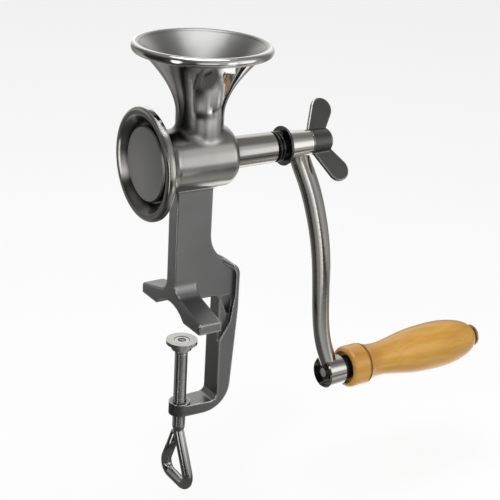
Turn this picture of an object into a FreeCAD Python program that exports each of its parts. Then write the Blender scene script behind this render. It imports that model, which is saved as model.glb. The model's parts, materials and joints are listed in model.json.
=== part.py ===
"""Hand crank grinder with a table clamp, a feed hopper and a screw-fed pair of grinding burrs.

Millimetres. +X runs along the crank shaft from the grinding disc to the crank, +Z is up and
z = 0 is the table top that the feet stand on. The hopper's axis is x = 0, y = 0.
"""
import FreeCAD
import Part
import math
import os

Vector = FreeCAD.Vector
X_AXIS = Vector(1, 0, 0)
Y_AXIS = Vector(0, 1, 0)
Z_AXIS = Vector(0, 0, 1)

# ---- Driving dimensions ------------------------------------------------------------------

shaft_height = 94.5          # crank shaft's axis above the table top

# Fits between pieces, all radial or face to face
running_gap = 0.08           # a shaft that turns in its bore
seat_gap = 0.05              # a piece pressed or laid into its seat
saddle_gap = 0.15            # column's saddle under the barrel, filled by the weld
burr_gap = 0.5               # between the two grinding faces
end_gap = 0.3                # between end faces that turn past each other
overshoot = 1.0              # how far a cut runs past the face that it opens

# Tolerances, used only to tell points and edges apart
touching = 1e-6
on_face = 0.01
near_by = 1.0

# Hopper: a trumpet with a rolled bead, on a straight neck
rim_radius = 40.0
rim_height = 63.5            # bead's centre above the shaft
bead_radius = 2.7
bead_outer_end = 225.0       # degrees round the bead where the trumpet's outer face leaves it
bead_inner_end = 150.0       # and where its inner face does
neck_radius = 13.8
neck_height = 26.0           # where the flare starts, above the shaft
feed_bore_radius = 10.8
feed_flare_height = 23.5     # where the inner flare starts, above the shaft
flare_power = 1.8            # how late the flare opens
neck_fillet = 4.5

# Barrel: flange, bell, feed chamber and shaft sleeve, turned about the shaft
flange_front_x = -36.5
flange_radius = 32.6
flange_thickness = 4.6
flange_round = 2.4
flange_back_round = 1.2
bell_root_radius = 29.0      # bell's radius where it leaves the flange
bell_end_x = -20.0
bell_power = 2.2
chamber_radius = 18.0
chamber_end_x = 19.4
shoulder_round = 5.4
sleeve_radius = 9.5
sleeve_end_radius = 9.2
sleeve_end_x = 49.8
sleeve_chamfer = 0.6
dish_mouth_radius = 27.4
dish_floor_radius = 22.7
dish_edge_round = 0.8
chamber_bore_radius = 15.0
chamber_bore_end_x = 14.5
bush_bore_radius = 6.5
bush_length = 26.0

# Burrs
burr_radius = 19.5
burr_bore_radius = 12.0
burr_thickness = 2.5
burr_face_x = -30.2          # tips of the fixed burr's teeth
disc_radius = 21.6
disc_thickness = 3.5
disc_dome = 0.5
dome_middle_share = 0.7      # share of the rim's radius where the dome has half its rise
disc_edge_round = 0.8
disc_hub_radius = 8.0
disc_hub_length = 4.2
tooth_count = 20
tooth_depth = 1.0
tooth_width = 2.2
tooth_rake = 25.0            # degrees that each groove leans from the radius
tooth_tilt = 20.0            # degrees that each groove's floor tips from the face
burr_screw_place = 17.2      # from the shaft's axis
burr_screw_radius = 1.0
burr_screw_depth = 3.4       # into the casting behind the burr
burr_screw_head_radius = 1.7
burr_screw_head_height = 0.8
burr_screw_sink = 1.1        # head's top below the tips of the teeth

# Shaft, from its spigot in the disc to its threaded end in the wing nut
spigot_radius = 4.5
spigot_length = 6.2
pin_radius = 1.2
worm_core_radius = 6.5
worm_end_x = 13.0
worm_clearance = 0.7         # flight's edge to the chamber bore
worm_pitch = 15.0
worm_flight = 3.2            # flight's thickness
worm_edge_shares = (0.2, 0.8)   # where the flight's edge starts and ends: shares of its thickness
worm_root_sink = 0.5         # flight's root, inside the core
shaft_radius = 5.0
shaft_flat = 4.0             # half the distance across the two flats
flat_start_x = 53.5
flat_end_x = 73.5
shaft_thread_radius = 4.0
shaft_end_x = 88.5

# Spring and its washer
spring_wire = 2.0            # wire's diameter
spring_radius = 8.2          # to the wire's centre
spring_turns = 2.3
spring_length = 7.1
washer_radius = 11.9
washer_thickness = 1.6
washer_edge_round = 0.48

# Crank
crank_length = 161.3         # shaft axis to grip axis
hub_length = 17.5
hub_radius = 8.9
hub_end_radius = 8.0
hub_chamfer = 0.7
lower_hub_x = 101.9
lower_hub_length = 13.8
lower_hub_radius = 10.4
lower_hub_end_radius = 9.9
counterbore_radius = 9.3
counterbore_depth = 5.0
# Arm: share of the crank's length, bow along X from the line between the hubs' middles, half
# width and half thickness at each station
arm_stations = (
    (0.0, 2.4, 6.4, 5.5),
    (0.075, 1.895, 6.4, 5.5),
    (0.125, 3.625, 6.45, 5.4),
    (0.187, 5.4582, 6.5, 5.3),
    (0.28, 6.808, 6.55, 5.1),
    (0.405, 6.833, 6.5, 4.9),
    (0.548, 4.3128, 6.35, 4.75),
    (0.692, 0.2512, 6.1, 4.6),
    (0.829, -2.2206, 5.85, 4.5),
    (0.91, -1.674, 5.7, 4.5),
    (1.0, 0.0, 5.6, 4.5),
)

# Grip and the long bolt that it turns on
bolt_radius = 3.0
spacer_radius = 8.0
spacer_length = 7.3
grip_length = 111.6
collar_radius = 14.1
collar_length = 12.6
collar_round = 4.5           # along the grip, from its end to the collar's full radius
collar_face_radius = 11.4
groove_depth = 1.3
groove_width = 1.6
# Turned profile after the groove: distance from the grip's inner end, and radius
grip_profile = ((28.0, 11.3), (41.0, 13.0), (54.0, 15.1), (69.0, 16.2), (85.0, 16.0), (98.0, 13.8),
                (105.0, 11.3))
grip_end_radius = 7.6
grip_end_round = 1.5
grip_recess_radius = 11.0
grip_recess_depth = 4.0
head_radius = 7.7
head_height = 3.4
head_dome_shares = (0.6, 0.72)   # a point on the dome: shares of the head's height and radius
head_washer_thickness = 1.0
head_washer_radius = 7.7
nut_across_flats = 10.0
nut_thickness = 3.2
bolt_end_proud = 0.95        # bolt's end past the lock nut

# Wing nut
wing_nut_length = 14.45
wing_nut_radius = 7.6
wing_nut_end_radius = 7.2
wing_nut_chamfer = 1.2
wing_thickness = 2.6
wing_edge_round = 0.78
wing_root_fillet = 1.2
wing_tip_radius = 7.1
wing_tip_run = 15.8          # tip circle's centre, along the shaft from the nut's inner face
wing_tip_height = 19.5       # and from the shaft's axis
wing_root_inset = 0.75       # wing's inner edge at its root, from the nut's inner face
wing_root_height = 6.0       # where a wing starts, inside the barrel
wing_turn = 34.5             # degrees that the wings are turned about the shaft

# Stand: column, feet and C-frame
column_left_x = -15.2
column_right_x = 8.5
plate_thickness = 10.4
foot_width = 15.0
foot_reach = 34.9
foot_height = 6.0
foot_root_height = 13.4
foot_inner_reach = 16.3
arch_rise = 7.2
arch_shares = (0.75, 0.5, 0.25)   # points that draw the arch: shares of the feet's inner reach
foot_fillet = 9.0
foot_tip_round = 1.6
column_flare = 2.6           # fillet round the column's top, under the barrel
throat_x = 15.5              # spine's inner face
throat_round = 5.0
shoulder_drop_x = 28.2       # spine's outer face
shoulder_low_z = 24.4
shoulder_high_z = 36.4
shoulder_fillet = 20.0
shoulder_outer_round = 8.0
spine_bend_z = -3.0
spine_bend_round = 60.0
spine_foot_x = 24.0
arm_top_z = -62.0
arm_bottom_z = -69.0
arm_corner_round = 18.0
arm_inner_round = 4.0
edge_round = 1.3
# Outer rib: stands proud of the plate round the shoulder, and takes in the whole spine
# below the window and the lower arm
rib_width = 16.0
rib_thickness = 2.8
rib_edge_round = 1.0
rib_fade_start_x = 16.0      # where the rib starts to rise from the shoulder's top
rib_fade_end_x = 24.0
rib_full_z = -24.0           # below here it is as thick as the spine
# Three-sided window through the shoulder, each side measured in from the spine's faces
window_inner_inset = 1.4
window_outer_inset = 3.2
window_low_inset = 5.6
window_drop = 0.6            # its top below the arch's crown
window_depth = 17.2
window_round = 1.0
window_outer_round = 1.8

# Clamp screw, its boss and its swivelling pad
screw_x = -6.0
screw_radius = 4.0
boss_radius = 6.6
boss_top_z = -61.0
table_thickness = 19.4       # table that the clamp is closed on
pad_radius = 9.5
pad_neck_radius = 6.2
pad_rim_thickness = 2.2
pad_height = 6.0
pad_flare = 1.2              # height over which the neck widens to the pad
screw_neck_radius = 2.6
rivet_radius = 4.4
rivet_thickness = 1.7
rivet_depth = 0.3            # rivet's head below the pad's face
loop_top_z = -79.5
loop_rod_radius = 3.3
loop_half_width = 17.4
loop_bottom_z = -115.8
loop_corner_round = 6.5
loop_neck_round = 9.0
loop_neck_drop = 1.0         # where the bent rod's line first turns, below the loop's top
loop_rod_rise = 2.5          # how far the bent rod runs up into the shank
shank_end_rise = 1.5         # shank's end, above the loop's top
loop_end_gap = 5.0           # bent end's stop, below the loop's top
loop_end_offset = 2.64       # and from the screw's axis

# ---- Places that follow from the sizes above -----------------------------------------------

flange_back_x = flange_front_x + flange_thickness
dish_floor_x = burr_face_x
burr_seat_x = burr_face_x + burr_thickness
disc_back_x = burr_face_x - burr_gap
disc_front_x = disc_back_x - disc_thickness
disc_hub_end_x = disc_back_x + disc_hub_length
spigot_end_x = disc_hub_end_x - spigot_length
pin_x = (disc_back_x + disc_hub_end_x) / 2
worm_radius = chamber_bore_radius - worm_clearance
spring_start_x = sleeve_end_x + seat_gap
washer_x = spring_start_x + spring_length + seat_gap
hub_x = washer_x + washer_thickness + seat_gap
hub_end_x = hub_x + hub_length
upper_hub_middle_x = hub_x + hub_length / 2
lower_hub_middle_x = lower_hub_x + lower_hub_length / 2
grip_height = shaft_height - crank_length
foot_left_x = column_left_x
foot_right_x = foot_left_x + foot_width
foot_top_z = foot_root_height + foot_fillet
burr_screw_head_x = burr_face_x + burr_screw_sink
burr_screw_shank_x = burr_screw_head_x + burr_screw_head_height
burr_screw_end_x = burr_seat_x + burr_screw_depth
wing_nut_x = hub_end_x + seat_gap
wing_nut_end_x = wing_nut_x + wing_nut_length
lower_hub_end_x = lower_hub_x + lower_hub_length
spacer_x = lower_hub_end_x + seat_gap
grip_x = spacer_x + spacer_length + end_gap - grip_recess_depth
grip_end_x = grip_x + grip_length
groove_lip_depth = groove_depth / 3   # step from the collar down to the waist
head_washer_x = grip_end_x + end_gap
head_x = head_washer_x + head_washer_thickness + seat_gap
lock_nut_end_x = lower_hub_x + counterbore_depth - seat_gap
plate_half = plate_thickness / 2
rib_half = rib_width / 2
boss_bottom_z = arm_bottom_z
pad_top_z = -table_thickness
pad_bottom_z = pad_top_z - pad_height
rivet_top_z = pad_top_z - rivet_depth
rivet_bottom_z = rivet_top_z - rivet_thickness
screw_shoulder_z = pad_bottom_z - seat_gap

# ---- Drawing helpers -----------------------------------------------------------------------


def on_shaft(x, radius):
    """A point at a radius above the shaft's axis."""
    return Vector(x, 0, shaft_height + radius)


def on_grip(x, radius):
    """A point at a radius above the grip's axis."""
    return Vector(x, 0, grip_height + radius)


def on_hopper(radius, height):
    """A point at a radius from the hopper's axis, at a height above the shaft."""
    return Vector(radius, 0, shaft_height + height)


def on_screw(radius, z):
    """A point at a radius from the clamp screw's axis."""
    return Vector(screw_x + radius, 0, z)


def on_side(x, z):
    """A point on the near face of the stand's plate."""
    return Vector(x, -plate_half, z)


def on_foot(y, z):
    """A point on the feet's outer side face."""
    return Vector(foot_left_x, y, z)


class Outline:
    """A closed outline of straight, round and curved stretches, drawn on one plane."""

    def __init__(self, place, a, b):
        self.place = place
        self.start = self.end = place(a, b)
        self.edges = []

    def line(self, *points):
        for a, b in points:
            target = self.place(a, b)
            self.edges.append(Part.LineSegment(self.end, target).toShape())
            self.end = target
        return self

    def arc(self, middle, end):
        target = self.place(*end)
        self.edges.append(Part.Arc(self.end, self.place(*middle), target).toShape())
        self.end = target
        return self

    def corner(self, a, b, direction_a, direction_b, radius):
        """A quarter round that leaves along one direction and ends along the other."""
        corner_end = (a + direction_b[0] * radius, b + direction_b[1] * radius)
        inset = radius * (1 - math.sqrt(0.5))
        middle = (a + (direction_b[0] - direction_a[0]) * inset,
                  b + (direction_b[1] - direction_a[1]) * inset)
        corner_start = (a - direction_a[0] * radius, b - direction_a[1] * radius)
        return self.line(corner_start).arc(middle, corner_end)

    def curve(self, points, start_direction=None, end_direction=None):
        """A smooth curve from the outline's end through the points."""
        spots = [self.end] + [self.place(a, b) for a, b in points]
        origin = self.place(0, 0)
        spline = Part.BSplineCurve()
        if start_direction and end_direction:
            spline.interpolate(Points=spots,
                               InitialTangent=self.place(*start_direction) - origin,
                               FinalTangent=self.place(*end_direction) - origin)
        else:
            spline.interpolate(Points=spots)
        self.edges.append(spline.toShape())
        self.end = spots[-1]
        return self

    def face(self):
        if self.end.distanceToPoint(self.start) > touching:
            self.edges.append(Part.LineSegment(self.end, self.start).toShape())
        return Part.Face(Part.Wire(self.edges))


def rounded_face(corners, place):
    """A face with a tangent arc at each corner (a, b, radius)."""
    spots = [place(a, b) for a, b, _ in corners]
    stretches = []
    for index, (_, _, radius) in enumerate(corners):
        here = spots[index]
        if radius == 0:
            stretches.append((here, None, here))
            continue
        back = (spots[index - 1] - here).normalize()
        ahead = (spots[(index + 1) % len(spots)] - here).normalize()
        half_angle = back.getAngle(ahead) / 2
        run = radius / math.tan(half_angle)
        bisector = (back + ahead).normalize()
        middle = here + bisector * (radius / math.sin(half_angle) - radius)
        stretches.append((here + back * run, middle, here + ahead * run))
    edges = []
    for index, (start, middle, end) in enumerate(stretches):
        if middle:
            edges.append(Part.Arc(start, middle, end).toShape())
        following = stretches[(index + 1) % len(stretches)][0]
        if end.distanceToPoint(following) > touching:
            edges.append(Part.LineSegment(end, following).toShape())
    return Part.Face(Part.Wire(edges))


def turned(face, height=shaft_height):
    """A face turned about an axis along X at a height."""
    return face.revolve(Vector(0, 0, height), X_AXIS, 360)


def turned_upright(face, x=0.0):
    """A face turned about an upright axis at x."""
    return face.revolve(Vector(x, 0, 0), Z_AXIS, 360)


def rod(x_start, x_end, radius, height=shaft_height):
    """A round bar along X."""
    return Part.makeCylinder(radius, x_end - x_start, Vector(x_start, 0, height), X_AXIS)


def upright_rod(z_start, z_end, radius, x=screw_x):
    """A round bar along Z."""
    return Part.makeCylinder(radius, z_end - z_start, Vector(x, 0, z_start), Z_AXIS)


def flatted_rod(x_start, x_end, radius, flat):
    """A round bar along X with two flats, above and below the axis."""
    slab = Part.makeBox(x_end - x_start, 2 * radius, 2 * flat,
                        Vector(x_start, -radius, shaft_height - flat))
    return rod(x_start, x_end, radius).common(slab)


def rounded_edges(shape, radius, wanted):
    """The shape with a fillet on each edge that the test picks."""
    return shape.makeFillet(radius, [edge for edge in shape.Edges if wanted(edge)])


def coil(pitch, length, radius, profile):
    """A profile swept along a helix about the shaft's axis, from x = 0."""
    helix = Part.makeHelix(pitch, length, radius)
    swept = Part.Wire(helix.Edges).makePipeShell([profile], True, True)
    swept.rotate(Vector(0, 0, 0), Y_AXIS, 90)
    return swept


# ---- The mill's body -----------------------------------------------------------------------


def hopper_solid():
    """Trumpet, bead and neck. Above the feed flare it is hollow, and below it solid."""
    bead_centre = (rim_radius - bead_radius, rim_height)

    def on_bead(degrees):
        angle = math.radians(degrees)
        return (bead_centre[0] + bead_radius * math.cos(angle),
                bead_centre[1] + bead_radius * math.sin(angle))

    outer_end, inner_end = on_bead(bead_outer_end), on_bead(bead_inner_end)

    def flare(radius, height, end, share):
        return (radius + (end[0] - radius) * share ** flare_power,
                height + (end[1] - height) * share)

    shares = (0.25, 0.5, 0.75, 1.0)
    outer = [flare(neck_radius, neck_height, outer_end, share) for share in shares]
    inner = [flare(feed_bore_radius, feed_flare_height, inner_end, share)
             for share in (0.75, 0.5, 0.25, 0.0)]
    outer_slope = (flare_power * (outer_end[0] - neck_radius), outer_end[1] - neck_height)
    inner_slope = (-flare_power * (inner_end[0] - feed_bore_radius),
                   feed_flare_height - inner_end[1])
    outline = Outline(on_hopper, 0, 0).line((neck_radius, 0), (neck_radius, neck_height))
    outline.curve(outer, (0, outer_slope[1]), outer_slope)
    outline.arc(on_bead((bead_outer_end + bead_inner_end - 360) / 2), inner_end)
    outline.curve(inner, inner_slope, (0, inner_slope[1]))
    outline.line((0, feed_flare_height))
    return turned_upright(outline.face())


def barrel_solid():
    """Flange, bell, chamber and sleeve as one turned bar, before it is bored."""
    bell_length = bell_end_x - flange_back_x
    bell_rise = bell_root_radius - chamber_radius
    bell = [(flange_back_x + bell_length * share,
             chamber_radius + bell_rise * (1 - share) ** bell_power)
            for share in (0.25, 0.5, 0.75, 1.0)]
    outline = Outline(on_shaft, flange_front_x, 0)
    outline.corner(flange_front_x, flange_radius, (0, 1), (1, 0), flange_round)
    outline.corner(flange_back_x, flange_radius, (1, 0), (0, -1), flange_back_round)
    outline.line((flange_back_x, bell_root_radius))
    outline.curve(bell, (bell_length, -bell_power * bell_rise), (bell_length, 0))
    outline.corner(chamber_end_x, chamber_radius, (1, 0), (0, -1), shoulder_round)
    outline.line((chamber_end_x, sleeve_radius),
                 (sleeve_end_x - sleeve_chamfer, sleeve_end_radius),
                 (sleeve_end_x, sleeve_end_radius - sleeve_chamfer),
                 (sleeve_end_x, 0))
    return turned(outline.face())


def barrel_hollow():
    """The dish, the fixed burr's seat, the feed chamber and the shaft's bore."""
    shaft_hole = shaft_radius + end_gap
    outline = Outline(on_shaft, flange_front_x - overshoot, 0)
    outline.line((flange_front_x - overshoot, dish_mouth_radius + dish_edge_round),
                 (flange_front_x, dish_mouth_radius + dish_edge_round),
                 (flange_front_x + dish_edge_round, dish_mouth_radius),
                 (dish_floor_x, dish_floor_radius),
                 (dish_floor_x, burr_radius + seat_gap),
                 (burr_seat_x, burr_radius + seat_gap),
                 (burr_seat_x, chamber_bore_radius),
                 (chamber_bore_end_x, chamber_bore_radius),
                 (chamber_bore_end_x, shaft_hole),
                 (sleeve_end_x - bush_length, shaft_hole),
                 (sleeve_end_x - bush_length, bush_bore_radius),
                 (sleeve_end_x + overshoot, bush_bore_radius),
                 (sleeve_end_x + overshoot, 0))
    return turned(outline.face())


def mill_body():
    """The polished casting: hopper, neck, feed chamber, flange and shaft sleeve."""
    barrel = barrel_solid()
    barrel.rotate(Vector(0, 0, shaft_height), X_AXIS, 180)   # puts its seam underneath
    body = barrel.fuse(hopper_solid())

    def joins_neck(edge):
        box = edge.BoundBox
        return (abs(box.XLength - 2 * neck_radius) < near_by and box.ZMin > shaft_height
                and box.ZMax < shaft_height + neck_height - near_by)

    body = rounded_edges(body, neck_fillet, joins_neck)
    feed_bore = Part.makeCylinder(feed_bore_radius, feed_flare_height + overshoot,
                                  Vector(0, 0, shaft_height), Z_AXIS)
    return body.cut(barrel_hollow()).cut(feed_bore).cut(burr_screw_holes())


def sleeve_bush():
    """Plain bush in the sleeve, flush with its end."""
    bush = rod(sleeve_end_x - bush_length + seat_gap, sleeve_end_x, bush_bore_radius - seat_gap)
    return bush.cut(rod(sleeve_end_x - bush_length - overshoot, sleeve_end_x + overshoot,
                        shaft_radius + running_gap))


# ---- Burrs and shaft -----------------------------------------------------------------------


def tooth_grooves(face_x, depth_sign, rake):
    """Slanting grooves that leave teeth on a grinding face."""
    groove = Part.makeBox(2 * tooth_depth, tooth_width, disc_radius,
                          Vector(-tooth_depth, -tooth_width / 2, 0))
    groove.rotate(Vector(0, 0, 0), Z_AXIS, depth_sign * tooth_tilt)
    groove.rotate(Vector(0, 0, 0), X_AXIS, rake)
    groove.translate(Vector(face_x, 0, shaft_height + burr_bore_radius))
    copies = []
    for index in range(tooth_count):
        copy = groove.copy()
        copy.rotate(Vector(0, 0, shaft_height), X_AXIS, 360.0 * index / tooth_count)
        copies.append(copy)
    return Part.makeCompound(copies)


def beside_shaft(x_start, x_end, radius, side):
    """A round bar along X at the place of one burr screw; side is -1 or 1."""
    return Part.makeCylinder(radius, x_end - x_start,
                             Vector(x_start, side * burr_screw_place, shaft_height), X_AXIS)


def burr_screw_holes():
    """Both screw holes, from in front of the burr to the screws' ends."""
    holes = [beside_shaft(burr_face_x - overshoot, burr_screw_end_x + seat_gap,
                          burr_screw_radius + seat_gap, side) for side in (-1, 1)]
    return Part.makeCompound(holes)


def burr_screw(side):
    """Flat-headed screw that holds the fixed burr."""
    head = beside_shaft(burr_screw_head_x, burr_screw_shank_x, burr_screw_head_radius, side)
    return head.fuse(beside_shaft(burr_screw_shank_x, burr_screw_end_x, burr_screw_radius, side))


def burr_screws():
    return Part.makeCompound([burr_screw(side) for side in (-1, 1)])


def fixed_burr():
    """Toothed ring in the bottom of the dish, held by two sunk screws."""
    ring = rod(burr_face_x, burr_seat_x - seat_gap, burr_radius)
    ring = ring.cut(rod(burr_face_x - overshoot, burr_seat_x + overshoot, burr_bore_radius))
    ring = ring.cut(tooth_grooves(burr_face_x, 1, tooth_rake)).cut(burr_screw_holes())
    for side in (-1, 1):
        ring = ring.cut(beside_shaft(burr_face_x - overshoot, burr_screw_shank_x + seat_gap,
                                     burr_screw_head_radius + seat_gap, side))
    return ring


def grinding_disc():
    """Turning burr: a smooth domed front, teeth behind and a hub for the shaft's spigot."""
    outline = Outline(on_shaft, disc_front_x - disc_dome, 0)
    rim = (disc_front_x, disc_radius - disc_edge_round)
    outline.curve([(disc_front_x - disc_dome / 2, rim[1] * dome_middle_share), rim])
    outline.line((disc_front_x + disc_edge_round, disc_radius),
                 (disc_back_x, disc_radius),
                 (disc_back_x, disc_hub_radius),
                 (disc_hub_end_x, disc_hub_radius),
                 (disc_hub_end_x, spigot_radius + seat_gap),
                 (spigot_end_x - seat_gap, spigot_radius + seat_gap),
                 (spigot_end_x - seat_gap, 0))
    disc = turned(outline.face())
    disc = disc.cut(tooth_grooves(disc_back_x, -1, -tooth_rake))
    return disc.cut(cross_pin(pin_radius + seat_gap, disc_hub_radius + overshoot))


def cross_pin(radius, half_length):
    """An upright pin through the disc's hub and the shaft's spigot."""
    return Part.makeCylinder(radius, 2 * half_length,
                             Vector(pin_x, 0, shaft_height - half_length), Z_AXIS)


def drive_pin():
    return cross_pin(pin_radius, disc_hub_radius - end_gap)


def worm_shaft():
    """Spigot, feed worm, journal, flats for the crank and a threaded end."""
    core_start_x = disc_hub_end_x + seat_gap
    core_end_x = chamber_bore_end_x - end_gap
    shaft = rod(spigot_end_x, core_start_x, spigot_radius)
    shaft = shaft.cut(cross_pin(pin_radius + seat_gap, disc_hub_radius))
    shaft = shaft.fuse(rod(core_start_x, core_end_x, worm_core_radius))
    shaft = shaft.fuse(rod(core_end_x, flat_start_x, shaft_radius))
    shaft = shaft.fuse(flatted_rod(flat_start_x, flat_end_x, shaft_radius, shaft_flat))
    shaft = shaft.fuse(rod(flat_end_x, shaft_end_x, shaft_thread_radius))
    flight_length = worm_end_x - core_start_x - worm_flight
    root = worm_core_radius - worm_root_sink
    edge_start, edge_end = worm_edge_shares
    section = Part.makePolygon([Vector(root, 0, 0), Vector(worm_radius, 0, worm_flight * edge_start),
                                Vector(worm_radius, 0, worm_flight * edge_end),
                                Vector(root, 0, worm_flight), Vector(root, 0, 0)])
    flight = coil(worm_pitch, flight_length, worm_radius, section)
    flight.translate(Vector(core_start_x, 0, shaft_height))
    return shaft.fuse(flight)


def pressure_spring():
    """Compression spring between the sleeve's end and the thrust washer."""
    pitch = (spring_length - spring_wire) / spring_turns
    circle = Part.Circle(Vector(spring_radius, 0, 0), Y_AXIS, spring_wire / 2)
    spring = coil(pitch, spring_length - spring_wire, spring_radius,
                  Part.Wire(circle.toShape()))
    spring.translate(Vector(spring_start_x + spring_wire / 2, 0, shaft_height))
    return spring


def thrust_washer():
    washer = rod(washer_x, washer_x + washer_thickness, washer_radius)
    washer = rounded_edges(washer, washer_edge_round,
                           lambda edge: edge.BoundBox.XLength < on_face)
    return washer.cut(rod(washer_x - overshoot, hub_x + overshoot, shaft_radius + running_gap))


# ---- Crank and grip ------------------------------------------------------------------------


def arm_solid():
    """The S-shaped arm, lofted through oval sections square to its centre line."""
    run = lower_hub_middle_x - upper_hub_middle_x
    centres = [Vector(upper_hub_middle_x + share * run + bow, 0,
                      shaft_height - share * crank_length)
               for share, bow, _, _ in arm_stations]
    line = Part.BSplineCurve()
    line.interpolate(Points=centres)
    sections = []
    for centre, (_, _, half_width, half_thickness) in zip(centres, arm_stations):
        along = line.tangent(line.parameter(centre))[0]
        across = along.cross(Y_AXIS)
        ellipse = Part.Ellipse(centre + across * half_width, centre + Y_AXIS * half_thickness,
                               centre)
        sections.append(Part.Wire(ellipse.toShape()))
    return Part.makeLoft(sections, True, False)


def crank_arm():
    """Upper hub with flatted bore, arm, and lower hub with a counterbore for the lock nut."""
    upper = turned(Outline(on_shaft, hub_x, 0).line(
        (hub_x, hub_radius - hub_chamfer), (hub_x + hub_chamfer, hub_radius),
        (hub_end_x - hub_chamfer, hub_end_radius), (hub_end_x, hub_end_radius - hub_chamfer),
        (hub_end_x, 0)).face())
    lower = turned(Outline(on_grip, lower_hub_x, 0).line(
        (lower_hub_x, lower_hub_radius - hub_chamfer),
        (lower_hub_x + hub_chamfer, lower_hub_radius),
        (lower_hub_end_x - hub_chamfer, lower_hub_end_radius),
        (lower_hub_end_x, lower_hub_end_radius - hub_chamfer),
        (lower_hub_end_x, 0)).face(), grip_height)
    nut_room = rod(hub_end_x, hub_end_x + wing_nut_length, wing_nut_radius + end_gap)
    crank = arm_solid().cut(nut_room).fuse(upper).fuse(lower)
    crank = crank.cut(flatted_rod(hub_x - overshoot, hub_end_x + overshoot,
                                  shaft_radius + running_gap,
                                  shaft_flat + running_gap))
    crank = crank.cut(rod(lower_hub_x - overshoot, lower_hub_x + counterbore_depth,
                          counterbore_radius, grip_height))
    return crank.cut(rod(lower_hub_x, lower_hub_end_x + overshoot, bolt_radius + seat_gap,
                         grip_height))


def grip():
    """Turned wooden grip: collar, groove, waist, belly and a rounded end."""
    groove_x = grip_x + collar_length
    shoulder_x = groove_x + groove_width
    bore = bolt_radius + running_gap
    outline = Outline(on_grip, grip_x + grip_recess_depth, bore)
    outline.line((grip_x + grip_recess_depth, grip_recess_radius), (grip_x, grip_recess_radius),
                 (grip_x, collar_face_radius))
    outline.curve([(grip_x + collar_round, collar_radius)], (0, 1), (1, 0))
    outline.line((groove_x, collar_radius))
    outline.arc((groove_x + groove_width / 2, collar_radius - groove_depth),
                (shoulder_x, collar_radius - groove_lip_depth))
    outline.curve([(grip_x + place, radius) for place, radius in grip_profile]
                  + [(grip_end_x - grip_end_round, grip_end_radius)])
    outline.line((grip_end_x, grip_end_radius - grip_end_round), (grip_end_x, bore))
    return turned(outline.face(), grip_height)


def grip_bolt():
    """Long bolt with a domed head at the grip's outer end."""
    bolt_start_x = lock_nut_end_x - nut_thickness - bolt_end_proud
    outline = Outline(on_grip, bolt_start_x, 0)
    outline.line((bolt_start_x, bolt_radius), (head_x, bolt_radius), (head_x, head_radius))
    along, out = head_dome_shares
    outline.curve([(head_x + head_height * along, head_radius * out), (head_x + head_height, 0)])
    return turned(outline.face(), grip_height)


def ring(x_start, x_end, radius, bore, height):
    """A round washer along X."""
    hole = rod(x_start - overshoot, x_end + overshoot, bore, height)
    return rod(x_start, x_end, radius, height).cut(hole)


def grip_spacer():
    """Spacer between the lower hub and the grip's recess."""
    return ring(spacer_x, spacer_x + spacer_length, spacer_radius, bolt_radius + seat_gap,
                grip_height)


def head_washer():
    return ring(head_washer_x, head_washer_x + head_washer_thickness, head_washer_radius,
                bolt_radius + seat_gap, grip_height)


def lock_nut():
    """Hexagon nut in the lower hub's counterbore."""
    start_x = lock_nut_end_x - nut_thickness
    corner = nut_across_flats / 2 / math.cos(math.pi / 6)
    points = [Vector(start_x, corner * math.sin(math.pi * step / 3),
                     grip_height + corner * math.cos(math.pi * step / 3)) for step in range(7)]
    nut = Part.Face(Part.makePolygon(points)).extrude(Vector(nut_thickness, 0, 0))
    return nut.cut(rod(start_x - overshoot, lock_nut_end_x + overshoot, bolt_radius + seat_gap,
                       grip_height))


def tangent_point(point, centre, radius, side):
    """Where a line from a point touches a circle; side 1 is its left side seen from there."""
    run = centre[0] - point[0]
    rise = centre[1] - point[1]
    distance = math.hypot(run, rise)
    heading = math.atan2(rise, run) + side * math.asin(radius / distance)
    reach = math.sqrt(distance ** 2 - radius ** 2)
    return (point[0] + reach * math.cos(heading), point[1] + reach * math.sin(heading))


def wing_solid():
    """One wing: a tab that leans away from the crank, with a round tip."""
    tip = (wing_nut_x + wing_tip_run, wing_tip_height)
    inner_root = (wing_nut_x + wing_root_inset, wing_root_height)
    outer_root = (wing_nut_end_x, wing_root_height)
    lean = math.atan2(tip[1] - wing_root_height, tip[0] - (inner_root[0] + outer_root[0]) / 2)
    top = (tip[0] + wing_tip_radius * math.cos(lean), tip[1] + wing_tip_radius * math.sin(lean))
    outline = Outline(on_shaft, *inner_root)
    outline.line(tangent_point(inner_root, tip, wing_tip_radius, 1))
    outline.arc(top, tangent_point(outer_root, tip, wing_tip_radius, -1))
    outline.line(outer_root)
    tab = outline.face().extrude(Vector(0, wing_thickness, 0))
    tab.translate(Vector(0, -wing_thickness / 2, 0))
    return rounded_edges(tab, wing_edge_round,
                         lambda edge: abs(abs(edge.CenterOfMass.y) - wing_thickness / 2) < on_face)


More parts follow.
